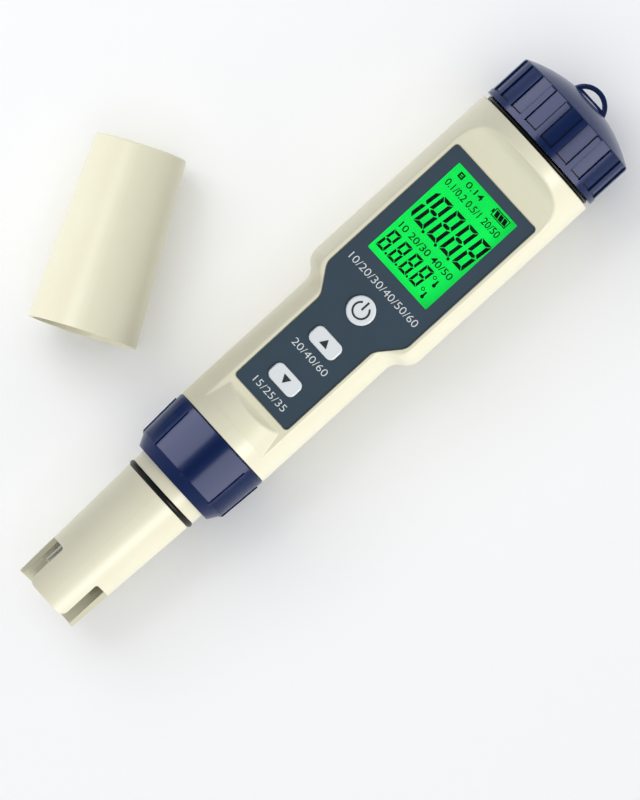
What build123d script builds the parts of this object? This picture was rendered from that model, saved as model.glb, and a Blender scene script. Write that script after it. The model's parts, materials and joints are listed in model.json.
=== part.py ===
from build123d import *
from math import atan, cos, radians, sin, sqrt
import os

os.makedirs("parts", exist_ok=True)

# Pen-type pool water tester with its probe cover taken off and lying beside it.
# Millimetres, +Z up. The long axis runs along +X from the probe tip to the battery cap, and
# the label faces +Z. The origin is the middle of the narrow flat that the head lies on.
# Stations are counted along the axis from the probe tip, and heights from the axis.

# Probe
sleeve_shown = 43.0  # from the tip to the collar
tip_radius = 9.6
sleeve_radius = 10.9  # where the sleeve enters the collar
sleeve_bore = 8.5
slot_length = 11.9  # both slots of the guard, and the depth of the potting face
tongue_width = 12.2
tongue_corner = 2.0
slot_corner = 0.8
potting_length = 10.0
ring_station = 38.9
ring_section = 1.5
ring_proud = 0.3  # how far the ring stands out of the sleeve
flange_thickness = 3.5
plug_length = 9.6
plug_radius = 10.9
plug_depth = 5.0  # of the plug in the sleeve
key_rib_width = 2.0
key_rib_height = 1.0
gasket_thickness = 1.2

# Sensors in the guard
bulb_radius = 3.5
bulb_station = 5.2
stem_radius = 3.0
glass_wall = 0.5
wire_radius = 0.4
wire_start = 4.0  # from the middle of the bulb
glass_end_wall = 1.0
pin_radius = 0.7
pin_tip = 0.3
pin_tip_station = 6.6
pin_places = [(6.75, 0.0), (3.4, -6.2)]  # across and height
sensor_radius = 1.5
sensor_tip = 1.2
sensor_tip_station = 7.5
sensor_place = (-4.2, -5.0)
junction_radius = 1.2
junction_proud = 0.9
junction_place = (-4.6, 3.6)

# Collar
collar_length = 16.75
collar_nose_radius = 12.5
collar_chamfer = 3.4  # along the axis
collar_low_radius = 14.4
collar_lip = 2.2
collar_wall = 1.3
collar_ribs = 8
collar_rib_width = 0.8
collar_rib_height = 0.3
collar_rib_start = 2.75  # from the nose
collar_rib_end = 14.75
collar_rib_root = 0.5  # how deep a rib stands in the collar
collar_rib_foot = 0.05  # height of a rib at the nose
collar_edge = 0.5

# Barrel
tube_radius = 15.0
tube_wall = 1.8
tube_gap = 0.15  # between the collar and the tube
spigot_wall = 1.8
spigot_bore_depth = 1.6  # past the start of the tube
shoulder_length = 7.75
shoulder_lead = 0.55  # how far the shoulder starts before the label's flare
head_edge = 0.4
head_rim = 3.6  # full round of the head above the scoop
bore_flare_lead = 1.5  # the bore starts to widen this far into the shoulder
bore_flare_lag = 1.0  # and ends this far into the head
neck_length = 11.4
neck_wall = 1.3
rest_flat_width = 3.9
face_height = 10.6  # flat front above the axis
ceiling_height = 8.4  # inside of the flat front
face_border = 0.5  # of the flat front above the label
scoop_radius = 9.0
band_length = 3.85  # full round tube above the collar
bump_length = 7.0
bump_high_radius = 14.75
bump_low_radius = 13.75
ramp_length = 2.1
ramp_lift = 0.35  # of the ramp's upper edge above the rise
crease_round = 0.8  # along the edges of the flat front
ramp_round = 0.7  # where the rise meets the flat front

# Label and display window
label_start = 1.85  # from the start of the flat front
label_top_border = 3.0  # above the display window
label_tube_border = 1.06  # of flat front beside the label, round the keys
label_head_border = 1.29  # and round the display
label_thickness = 0.35
label_corner = 1.0
label_flare_start = 29.2  # from the label's lower edge
label_flare_length = 6.7
label_flare_round = 4.0
pocket_depth = 0.8
pocket_gap = 0.2
window_start = 46.15  # from the label's lower edge
window_length = 30.75
window_side_border = 4.0  # of label beside the window
window_flange = 2.0
window_flange_thickness = 0.6
window_corner = 0.3
window_ledge = 0.5  # the opening in the barrel is this much larger than the window

# Keys
power_key_start = 34.0  # centres, from the label's lower edge
up_key_start = 22.0
down_key_start = 8.4
power_key_radius = 3.8
side_key_length = 4.95
side_key_width = 9.0
side_key_corner = 1.65
key_rise = 0.7  # above the label
key_edge = 0.45
key_flange = 1.0
key_flange_thickness = 0.7
key_travel = 0.5
switch_size = 4.5
switch_height = 2.0
switch_corner = 0.3
plunger_radius = 1.3
plunger_depth = 0.8  # of the plunger in its switch at rest
gasket_mat_thickness = 0.5
mat_low_edge = 3.0  # of the mat beyond the keys
mat_high_edge = 1.6
mat_side_edge = 2.5
mat_corner = 2.0

# Display stack and circuit board
board_height = 4.3  # upper face above the axis
board_thickness = 1.6
board_corner = 1.0
board_start_gap = 0.2  # from the socket
board_end_gap = 3.0  # to the bulkhead
board_flare_lag = 1.1  # the board widens this far past the bore
board_tube_gap = 2.08  # to the bore of the tube
board_head_gap = 0.28  # to the bore of the head
screw_radius = 0.8
screw_head_radius = 1.6
screw_head_height = 1.1
screw_head_edge = 0.4
screw_length = 5.0
screw_inset = 0.4  # from the middle of the rail
screw_start = 4.0  # first screws, from the end of the board
screw_frame_gap = 1.3  # from the second screws to the display frame
glass_side_edge = 1.5  # of the glass beyond the window
glass_low_edge = 4.5
glass_high_edge = 2.1
glass_thickness = 1.8
glass_bevel = 0.2
polariser_thickness = 0.2
guide_thickness = 1.9
guide_gap = 0.4
frame_wall = 0.7
frame_height = 3.3
frame_corner = 1.0
frame_bar = 0.3
clip_length = 3.0
clip_rise = 0.5
clip_share = 0.6  # of the length of the glass between two clips
strip_thickness = 2.2
strip_inset = 0.5
lamp_count = 3
lamp_length = 1.2
lamp_width = 3.0
lamp_height = 1.4
lamp_gap = 0.3

# Components under the board, placed by their share of its length
chip_place = 0.302
chip_size = 10.0
chip_height = 1.4
chip_lift = 0.1  # body of a chip below the board
chip_bevel = 0.2
lead_pitch = 0.8
leads_per_side = 11
lead_width = 0.35
lead_length = 1.9
lead_thickness = 0.3
lead_overlap = 0.15
small_chip_place = 0.123
small_chip_across = -3.0
small_chip_length = 5.0
small_chip_width = 4.0
small_chip_height = 1.2
small_lead_pitch = 1.27
small_leads_per_side = 4
small_lead_width = 0.45
small_lead_length = 1.4
crystal_place = 0.436
crystal_across = -3.0
crystal_length = 8.0
crystal_width = 3.6
crystal_height = 2.6
crystal_edge = 0.4
passive_length = 1.6
passive_width = 0.8
passive_height = 0.6
passive_groups = [(0.19, 4.0, 2.4, 2.2, 3, 2), (0.626, 0.0, 3.0, 3.6, 4, 3)]
capacitor_place = 0.85
capacitor_radius = 3.0
capacitor_height = 6.5
capacitor_edge = 0.5

# Socket and pins
pin_count = 6
pin_pitch = 2.54
contact_radius = 0.4
socket_length = 8.0
socket_width = 17.0
socket_height = 5.0
socket_corner = 0.6
socket_gap = 1.0  # from the plug
contact_wall = 0.3
contact_inset = 0.3
contact_floor = 2.2
contact_tail = 3.0
plug_pin_reach = 4.0
plug_pin_tip = 0.2

# Chassis
rail_width = 1.5
rail_height = 4.7
rib_thickness = 1.4
bulkhead_thickness = 2.0
boss_wall = 1.2  # round the board screws
cradle_lift = 1.0  # of the ribs above the lower edge of the rails
tube_cradle_leads = [21.25, 4.25]  # ribs below the shoulder
head_cradle_lags = [9.0, 33.0]  # ribs above the start of the head

# Batteries and battery cap
cell_radius = 5.8
cell_height = 5.4
cell_edge = 0.5
cell_rim = 0.9
cell_rim_step = 0.3
cell_room = 0.2  # round a cell in its well
cells_per_stack = 2
stack_gap = 1.0
tray_wall = 2.7
tray_floor = 2.3
finger_radius = 6.0
finger_depth = 8.0
leaf_room = 1.8
leaf_thickness = 0.3
leaf_width = 5.0
leaf_overlap = 2.5  # on the board
leaf_foot = -4.2
leaf_crest = -1.0
leaf_tip = 2.2
leaf_tip_lift = 0.5
leaf_bend = 0.45
leaf_slot_gap = 0.3
disc_thickness = 0.3
disc_hole_radius = 1.5
disc_edge_gap = 1.3  # to the bore of the head
pad_thickness = 1.8
cap_gap = 1.35
cap_wall = 1.45
cap_skirt = 12.5
cap_flange_length = 1.5
cap_step = 0.1  # the skirt is this much smaller than its flange
cap_pads = 20
cap_pad_depth = 0.4
cap_rib_width = 1.7
cap_dome_rise = 5.0
cap_edge = 1.0
cap_core_radius = 11.0
cap_core_depth = 1.8
cap_core_draft = 2.0
loop_radius = 5.8
loop_width = 1.3
loop_thickness = 2.8
loop_sink = 2.25  # centre of the loop below the top of the dome
loop_sill = 0.45  # lower edge of its hole above the top of the dome
loop_foot = 7.3  # half the width of its root inside the dome
loop_foot_sink = 1.0
loop_flare = 1.4
loop_edge = 0.4

# Probe cover
cover_length = 49.0
cover_mouth_radius = 14.2
cover_end_radius = 11.9
cover_end_wall = 1.5
cover_edge = 0.7
cover_skirt_depth = 4.0
cover_seal_depth = 12.0
cover_lead_in = 1.2
cover_skirt_gap = 0.4  # round the nose of the collar
cover_tip_gap = 0.6  # round the tip of the probe
cover_mouth_station = 51.4
cover_mouth_across = 43.1
cover_turn = 30.0  # degrees from +X towards +Y
sponge_thickness = 3.4

# Clearances
running_gap = 0.3  # round pieces that turn or slide
seat_gap = 0.1  # pieces that are pushed together by hand
glue_gap = 0.05
press_gap = 0.02  # metal and glass held in plastic
ring_squeeze = 0.05
over = 1.0  # how far a cut runs past the face that it opens
thread_gap = 0.5  # collar bore to spigot, where the threads are
cap_thread_gap = 0.8

# Stations worked out from the sizes above
flange_start = sleeve_shown + collar_lip + seat_gap
flange_end = flange_start + flange_thickness
spigot_start = flange_end + gasket_thickness
plug_end = flange_end + plug_length
socket_start = plug_end + socket_gap
collar_end = sleeve_shown + collar_length
tube_start = collar_end + tube_gap
recess_start = tube_start + band_length
face_start = recess_start + bump_length
label_low = face_start + label_start
label_flare = label_low + label_flare_start
window_low = label_low + window_start
window_high = window_low + window_length
label_high = window_high + label_top_border
face_end = label_high + face_border
shoulder_start = label_flare - shoulder_lead
head_start = shoulder_start + shoulder_length
head_end = face_end + scoop_radius + head_rim
neck_end = head_end + neck_length
bore_step = tube_start + spigot_bore_depth
bore_flare_end = head_start + bore_flare_lag
cap_start = head_end + cap_gap
cap_top = cap_start + cap_skirt
dome_top = cap_top + cap_dome_rise
key_stations = {
    "power": label_low + power_key_start,
    "up": label_low + up_key_start,
    "down": label_low + down_key_start,
}
tray_end = neck_end
cell_top = tray_end - seat_gap
cell_low = cell_top - cells_per_stack * cell_height
tray_start = cell_low - leaf_room - tray_floor
board_start = socket_start + socket_length + board_start_gap
board_end = tray_start - bulkhead_thickness - board_end_gap
board_length = board_end - board_start
rest_station = (head_start + head_end) / 2

# Radii and heights worked out from the sizes above
cell_spacing = 2 * cell_radius + stack_gap
tray_radius = cell_spacing / 2 + cell_radius + cell_room + tray_wall
neck_bore = tray_radius + running_gap
neck_radius = neck_bore + neck_wall
cap_bore = neck_radius + cap_thread_gap
cap_radius = cap_bore + cap_wall
cap_flange_radius = cap_radius + cap_step
axis_height = cap_flange_radius + glue_gap
head_radius = sqrt(axis_height**2 + (rest_flat_width / 2) ** 2)
tube_bore = tube_radius - tube_wall
collar_top_radius = tube_radius
collar_bore = collar_top_radius - collar_wall
spigot_radius = collar_bore - thread_gap
spigot_bore = spigot_radius - spigot_wall
flange_radius = spigot_radius - running_gap
pocket_height = face_height - pocket_depth
label_height = pocket_height + label_thickness
key_height = label_height + key_rise
flange_height = ceiling_height - gasket_mat_thickness
polariser_height = ceiling_height - seat_gap
glass_height = polariser_height - polariser_thickness
glass_low = glass_height - glass_thickness
sleeve_taper = (sleeve_radius - tip_radius) / sleeve_shown
pin_row_height = board_height + contact_radius
stack_across = cell_spacing / 2

# Widths worked out from the round that each piece sits in
label_narrow = 2 * (sqrt(tube_radius**2 - face_height**2) - label_tube_border)
label_wide = 2 * (sqrt(head_radius**2 - face_height**2) - label_head_border)
window_width = label_wide - 2 * window_side_border
glass_width = window_width + 2 * glass_side_edge
board_narrow = 2 * (sqrt(tube_bore**2 - board_height**2) - board_tube_gap)
board_wide = 2 * (sqrt(neck_bore**2 - board_height**2) - board_head_gap)
disc_radius = neck_bore - disc_edge_gap

long_axis = Axis((0, 0, axis_height), (1, 0, 0))


def lengthwise(turn=0, across=0):
    """Plane through the axis: x is the station, y the distance from the axis.

    It stands upright at a turn of 0 degrees and can be set off sideways.
    """
    away = radians(turn)
    return Plane(
        origin=(-rest_station, across, axis_height),
        x_dir=(1, 0, 0),
        z_dir=(0, -cos(away), sin(away)),
    )


def crosswise(station):
    """Plane square to the axis at a station: x is across, y the height."""
    return Plane(
        origin=(station - rest_station, 0, axis_height), x_dir=(0, 1, 0), z_dir=(1, 0, 0)
    )


def level(height):
    """Plane parallel to the label at a height: x is the station, y is across."""
    return Plane(origin=(-rest_station, 0, axis_height + height), z_dir=(0, 0, 1))


def sleeve_outer(station):
    """Radius of the probe sleeve at a station."""
    return tip_radius + sleeve_taper * station


def save(piece, label):
    """Name a finished piece and write it."""
    piece.part.label = label
    export_step(piece.part, f"parts/{label}.step")


# Barrel: the core that leaves its inside, with a flat ceiling under the label
with BuildPart() as barrel_core:
    with BuildSketch(lengthwise()):
        with BuildLine():
            Polyline(
                (spigot_start - over, 0),
                (spigot_start - over, spigot_bore),
                (bore_step, spigot_bore),
                (bore_step, tube_bore),
                (shoulder_start + bore_flare_lead, tube_bore),
                (bore_flare_end, neck_bore),
                (neck_end + over, neck_bore),
                (neck_end + over, 0),
                close=True,
            )
        make_face()
    revolve(axis=long_axis)
    with BuildSketch(level(ceiling_height)):
        with Locations((bore_step, 0)):
            Rectangle(
                face_end + scoop_radius - bore_step,
                2 * neck_bore,
                align=(Align.MIN, Align.CENTER),
            )
    extrude(amount=neck_bore, mode=Mode.SUBTRACT)

# Conical rise between the collar and the label, ended by a steep ramp
with BuildPart() as label_rise:
    with BuildSketch(lengthwise()):
        with BuildLine():
            Polyline(
                (recess_start, 0),
                (recess_start, bump_high_radius),
                (face_start, bump_low_radius),
                (face_start, 0),
                close=True,
            )
        make_face()
    revolve(axis=long_axis)
    with BuildSketch(lengthwise()):
        with BuildLine():
            Polyline(
                (recess_start, pocket_height),
                (recess_start, tube_radius),
                (face_start - ramp_length, bump_low_radius + ramp_lift),
                (face_start, face_height),
                (face_start, pocket_height),
                close=True,
            )
        make_face()
    extrude(amount=tube_radius, both=True, mode=Mode.INTERSECT)


def label_outline():
    """Outline of the label, narrow round the keys and wide round the display."""
    with BuildLine() as edge:
        FilletPolyline(
            (label_low, -label_narrow / 2),
            (label_flare, -label_narrow / 2),
            (label_flare + label_flare_length, -label_wide / 2),
            (label_high, -label_wide / 2),
            (label_high, label_wide / 2),
            (label_flare + label_flare_length, label_wide / 2),
            (label_flare, label_narrow / 2),
            (label_low, label_narrow / 2),
            radius=[label_corner, label_flare_round, label_flare_round, label_corner] * 2,
            close=True,
        )
    make_face(edge.edges())


def window_outline(margin, mode=Mode.ADD):
    """Outline of the display window, grown by a margin."""
    with Locations((window_low + window_length / 2, 0)):
        RectangleRounded(
            window_length + 2 * margin, window_width + 2 * margin, window_corner, mode=mode
        )


def key_outline(key, margin=0, mode=Mode.ADD):
    """Outline of one key, grown by a margin."""
    with Locations((key_stations[key], 0)):
        if key == "power":
            Circle(power_key_radius + margin, mode=mode)
        else:
            RectangleRounded(
                side_key_length + 2 * margin,
                side_key_width + 2 * margin,
                side_key_corner + margin,
                mode=mode,
            )


with BuildPart() as barrel:
    with BuildSketch(lengthwise()) as barrel_outline:
        with BuildLine():
            lower = Polyline(
                (spigot_start, 0),
                (spigot_start, spigot_radius),
                (tube_start, spigot_radius),
                (tube_start, tube_radius),
                (shoulder_start, tube_radius),
            )
            middle = (
                shoulder_start + shoulder_length / 2,
                (tube_radius + head_radius) / 2,
            )
            swell = TangentArc(lower @ 1, middle, tangent=(1, 0))
            turn_in = TangentArc(middle, (head_start, head_radius), tangent=swell % 1)
            Polyline(
                turn_in @ 1,
                (head_end, head_radius),
                (head_end, neck_radius),
                (neck_end, neck_radius),
                (neck_end, 0),
                (spigot_start, 0),
            )
        make_face()
        corner = barrel_outline.vertices().sort_by_distance((head_end, head_radius))[0]
        fillet(corner, radius=head_edge)
    revolve(axis=long_axis)
    # Flat front with the concave scoop at its upper end
    with BuildSketch(lengthwise()):
        with BuildLine():
            top = face_height + scoop_radius
            front = Polyline(
                (recess_start, top), (recess_start, face_height), (face_end, face_height)
            )
            scoop = TangentArc(front @ 1, (face_end + scoop_radius, top), tangent=(1, 0))
            Line(scoop @ 1, front @ 0)
        make_face()
    extrude(amount=head_radius, both=True, mode=Mode.SUBTRACT)
    # Soft crease along both sides of the flat front and round the scoop
    crease_half = sqrt(tube_radius**2 - face_height**2)
    crease_ends = [
        (face_start - rest_station, side, axis_height + face_height)
        for side in (-crease_half, crease_half)
    ]
    creases = [barrel.edges().sort_by_distance(end)[0] for end in crease_ends]
    fillet(creases, radius=crease_round)
    add(label_rise)
    foot = barrel.edges().filter_by_position(
        Axis.X, recess_start + over / 2 - rest_station, face_start + over / 2 - rest_station
    )
    fillet(foot, radius=ramp_round)
    add(barrel_core, mode=Mode.SUBTRACT)
    # Narrow flat on the back that the head lies on
    with BuildSketch(level(-axis_height)):
        with Locations((rest_station, 0)):
            Rectangle(head_end - head_start + 2 * shoulder_length, head_radius)
    extrude(amount=-over, mode=Mode.SUBTRACT)
    # Pocket for the label, seat and opening for the window, and key holes
    with BuildSketch(level(pocket_height)):
        label_outline()
        offset(amount=pocket_gap)
    extrude(amount=pocket_depth + over, mode=Mode.SUBTRACT)
    with BuildSketch(level(pocket_height)):
        window_outline(window_flange + seat_gap)
    extrude(amount=-window_flange_thickness, mode=Mode.SUBTRACT)
    with BuildSketch(level(pocket_height)):
        window_outline(window_ledge)
        for key in key_stations:
            key_outline(key, seat_gap)
    extrude(amount=ceiling_height - pocket_height - over, mode=Mode.SUBTRACT)
    # Keyway for the probe plug
    with BuildSketch(crosswise(spigot_start)):
        with Locations((0, -spigot_bore)):
            Rectangle(
                key_rib_width + 2 * seat_gap,
                2 * (plug_radius + key_rib_height + running_gap - spigot_bore),
            )
    extrude(amount=plug_length, mode=Mode.SUBTRACT)
save(barrel, "barrel")

# Label film and the clear window that fills its cut-out
with BuildPart() as label:
    with BuildSketch(level(pocket_height)):
        label_outline()
        window_outline(seat_gap, Mode.SUBTRACT)
        for key in key_stations:
            key_outline(key, seat_gap, Mode.SUBTRACT)
    extrude(amount=label_thickness)
save(label, "label")

with BuildPart() as display_window:
    with BuildSketch(level(pocket_height)):
        window_outline(window_flange)
    extrude(amount=-window_flange_thickness)
    with BuildSketch(level(pocket_height)):
        window_outline(0)
    extrude(amount=label_thickness)
save(display_window, "display_window")


def make_key(key):
    """Key with a soft upper edge and a flange that keeps it in the barrel."""
    with BuildPart() as cap:
        with BuildSketch(level(flange_height - key_flange_thickness)):
            key_outline(key)
        extrude(amount=key_height - flange_height + key_flange_thickness)
        fillet(cap.faces().sort_by(Axis.Z)[-1].edges(), radius=key_edge)
        with BuildSketch(level(flange_height - key_flange_thickness)):
            key_outline(key, key_flange)
        extrude(amount=key_flange_thickness)
    save(cap, f"{key}_key")


def make_switch(key):
    """Push switch on the board under one key, and the plunger that the key presses."""
    station = key_stations[key]
    with BuildPart() as switch:
        with BuildSketch(level(board_height)):
            with Locations((station, 0)):
                RectangleRounded(switch_size, switch_size, switch_corner)
        extrude(amount=switch_height)
        with BuildSketch(level(board_height + switch_height)):
            with Locations((station, 0)):
                Circle(plunger_radius + seat_gap)
        extrude(amount=-key_travel - plunger_depth, mode=Mode.SUBTRACT)
    save(switch, f"{key}_switch")
    with BuildPart() as plunger:
        with BuildSketch(level(board_height + switch_height - plunger_depth + glue_gap)):
            with Locations((station, 0)):
                Circle(plunger_radius)
        extrude(
            amount=flange_height
            - key_flange_thickness
            - board_height
            - switch_height
            + plunger_depth
            - glue_gap
        )
    save(plunger, f"{key}_plunger")


for key in key_stations:
    make_key(key)
    make_switch(key)

# Soft mat that seals the keys against the ceiling of the barrel
mat_low = key_stations["down"] - side_key_length / 2 - mat_low_edge
mat_high = key_stations["power"] + power_key_radius + mat_high_edge
with BuildPart() as key_gasket:
    with BuildSketch(level(flange_height)):
        with Locations(((mat_low + mat_high) / 2, 0)):
            RectangleRounded(
                mat_high - mat_low, side_key_width + 2 * mat_side_edge, mat_corner
            )
        for key in key_stations:
            key_outline(key, running_gap, Mode.SUBTRACT)
    extrude(amount=gasket_mat_thickness)
save(key_gasket, "key_gasket")


def board_outline():
    """Outline of the circuit board, wider in the head."""
    flare = bore_flare_end + board_flare_lag
    widen = (board_wide - board_narrow) / 2
    with BuildLine() as edge:
        FilletPolyline(
            (board_start, -board_narrow / 2),
            (flare, -board_narrow / 2),
            (flare + widen, -board_wide / 2),
            (board_end, -board_wide / 2),
            (board_end, board_wide / 2),
            (flare + widen, board_wide / 2),
            (flare, board_narrow / 2),
            (board_start, board_narrow / 2),
            radius=board_corner,
            close=True,
        )
    make_face(edge.edges())


rail_across = board_narrow / 2 - rail_width / 2
glass_start = window_low - glass_low_edge
glass_length = window_high + glass_high_edge - glass_start
glass_middle = glass_start + glass_length / 2
frame_length = glass_length + 2 * (frame_wall + seat_gap)
frame_width = glass_width + 2 * (frame_wall + seat_gap)
screw_far = glass_middle - frame_length / 2 - screw_frame_gap - screw_head_radius
screw_across = rail_across - screw_inset
screw_places = [
    (station, across)
    for station in (board_start + screw_start, screw_far)
    for across in (-screw_across, screw_across)
]
board_low = board_height - board_thickness
with BuildPart() as circuit_board:
    with BuildSketch(level(board_low)):
        board_outline()
        with Locations(*screw_places):
            Circle(screw_radius + running_gap, mode=Mode.SUBTRACT)
    extrude(amount=board_thickness)
save(circuit_board, "circuit_board")

with BuildPart() as board_screws:
    with BuildSketch(level(board_height)):
        with Locations(*screw_places):
            Circle(screw_head_radius)
    extrude(amount=screw_head_height)
    heads = board_screws.faces().filter_by(Axis.Z).sort_by(Axis.Z)[-len(screw_places):]
    fillet(heads.edges(), radius=screw_head_edge)
    with BuildSketch(level(board_height)):
        with Locations(*screw_places):
            Circle(screw_radius)
    extrude(amount=-screw_length)
save(board_screws, "board_screws")

# Display stack: frame, backlight guide and lamps, conductive strip, glass and polariser
strip_station = glass_start + strip_thickness / 2
guide_low = glass_start + strip_thickness + guide_gap
lamp_station = glass_start + glass_length - lamp_length / 2 - seat_gap
guide_high = lamp_station - lamp_length / 2 - lamp_gap
with BuildPart() as display_frame:
    with BuildSketch(level(board_height)):
        with Locations((glass_middle, 0)):
            RectangleRounded(frame_length, frame_width, frame_corner)
            Rectangle(glass_length + 2 * seat_gap, glass_width + 2 * seat_gap, mode=Mode.SUBTRACT)
    extrude(amount=frame_height)
    # Bar between the strip and the guide
    with BuildSketch(level(board_height)):
        with Locations((guide_low - guide_gap / 2, 0)):
            Rectangle(frame_bar, frame_width - frame_wall)
    extrude(amount=glass_low - board_height - glue_gap)
    # Four clips that reach over the edge of the glass
    with BuildSketch(level(board_height)):
        with Locations((glass_middle, 0)):
            with GridLocations(glass_length * clip_share, frame_width - frame_wall, 2, 2):
                Rectangle(clip_length, frame_wall)
    extrude(amount=frame_height + clip_rise)
save(display_frame, "display_frame")

with BuildPart() as backlight_guide:
    with BuildSketch(level(glass_low - glue_gap)):
        with Locations(((guide_low + guide_high) / 2, 0)):
            Rectangle(guide_high - guide_low, glass_width)
    extrude(amount=-guide_thickness)
save(backlight_guide, "backlight_guide")

with BuildPart() as backlight_lamps:
    with BuildSketch(level(board_height)):
        with Locations((lamp_station, 0)):
            with GridLocations(1, glass_width / lamp_count, 1, lamp_count):
                Rectangle(lamp_length, lamp_width)
    extrude(amount=lamp_height)
save(backlight_lamps, "backlight_lamps")

with BuildPart() as conductive_strip:
    with BuildSketch(level(board_height)):
        with Locations((strip_station, 0)):
            Rectangle(strip_thickness, glass_width - 2 * strip_inset)
    extrude(amount=glass_low - board_height)
save(conductive_strip, "conductive_strip")

with BuildPart() as display_glass:
    with BuildSketch(level(glass_low)):
        with Locations((glass_middle, 0)):
            Rectangle(glass_length, glass_width)
    extrude(amount=glass_thickness)
    chamfer(display_glass.faces().sort_by(Axis.Z)[-1].edges(), glass_bevel)
save(display_glass, "display_glass")

with BuildPart() as display_polariser:
    with BuildSketch(level(glass_height)):
        window_outline(window_ledge - seat_gap)
    extrude(amount=polariser_thickness)
save(display_polariser, "display_polariser")


def on_board(share):
    """Station at a share of the board's length."""
    return board_start + share * board_length


# Components under the board
with BuildPart() as main_chip:
    with BuildSketch(level(board_low - chip_lift)):
        with Locations((on_board(chip_place), 0)):
            Rectangle(chip_size, chip_size)
    extrude(amount=-chip_height)
    chamfer(main_chip.faces().sort_by(Axis.Z)[0].edges(), chip_bevel)
    # Leads on all four sides
    lead_rows = chip_size + lead_length - 2 * lead_overlap
    with BuildSketch(level(board_low)):
        with Locations((on_board(chip_place), 0)):
            with GridLocations(lead_pitch, lead_rows, leads_per_side, 2):
                Rectangle(lead_width, lead_length)
            with GridLocations(lead_rows, lead_pitch, 2, leads_per_side):
                Rectangle(lead_length, lead_width)
    extrude(amount=-lead_thickness)
save(main_chip, "main_chip")

with BuildPart() as measuring_chip:
    with BuildSketch(level(board_low - chip_lift)):
        with Locations((on_board(small_chip_place), small_chip_across)):
            Rectangle(small_chip_length, small_chip_width)
    extrude(amount=-small_chip_height)
    lead_rows = small_chip_width + small_lead_length - 2 * lead_overlap
    with BuildSketch(level(board_low)):
        with Locations((on_board(small_chip_place), small_chip_across)):
            with GridLocations(small_lead_pitch, lead_rows, small_leads_per_side, 2):
                Rectangle(small_lead_width, small_lead_length)
    extrude(amount=-lead_thickness)
save(measuring_chip, "measuring_chip")

with BuildPart() as quartz_crystal:
    with BuildSketch(level(board_low)):
        with Locations((on_board(crystal_place), crystal_across)):
            SlotOverall(crystal_length, crystal_width)
    extrude(amount=-crystal_height)
    fillet(quartz_crystal.faces().sort_by(Axis.Z)[0].edges(), radius=crystal_edge)
save(quartz_crystal, "quartz_crystal")

with BuildPart() as small_passives:
    with BuildSketch(level(board_low)):
        for place, across, pitch, row_pitch, count, rows in passive_groups:
            with Locations((on_board(place), across)):
                with GridLocations(pitch, row_pitch, count, rows):
                    Rectangle(passive_length, passive_width)
    extrude(amount=-passive_height)
save(small_passives, "small_passives")

with BuildPart() as storage_capacitor:
    with BuildSketch(level(board_low)):
        with Locations((on_board(capacitor_place), 0)):
            Circle(capacitor_radius)
    extrude(amount=-capacitor_height)
    fillet(storage_capacitor.faces().sort_by(Axis.Z)[0].edges(), radius=capacitor_edge)
save(storage_capacitor, "storage_capacitor")

# Socket of the probe, held in the chassis in front of the board
contact_outer_radius = contact_radius + contact_wall
with BuildPart() as pin_socket:
    with BuildSketch(crosswise(socket_start)):
        with Locations((0, pin_row_height)):
            RectangleRounded(socket_width, socket_height, socket_corner)
            with GridLocations(pin_pitch, 1, pin_count, 1):
                Circle(contact_outer_radius + press_gap, mode=Mode.SUBTRACT)
    extrude(amount=socket_length)
save(pin_socket, "pin_socket")

with BuildPart() as socket_contacts:
    with BuildSketch(crosswise(socket_start + contact_inset)):
        with Locations((0, pin_row_height)):
            with GridLocations(pin_pitch, 1, pin_count, 1):
                Circle(contact_outer_radius)
    extrude(amount=socket_length - contact_inset)
    with BuildSketch(crosswise(socket_start + contact_inset)):
        with Locations((0, pin_row_height)):
            with GridLocations(pin_pitch, 1, pin_count, 1):
                Circle(contact_radius + seat_gap)
    extrude(amount=socket_length - contact_inset - contact_floor, mode=Mode.SUBTRACT)
    # Tails that lie on the board
    with BuildSketch(crosswise(socket_start + socket_length)):
        with Locations((0, pin_row_height)):
            with GridLocations(pin_pitch, 1, pin_count, 1):
                Circle(contact_radius)
    extrude(amount=contact_tail)
save(socket_contacts, "socket_contacts")

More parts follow.
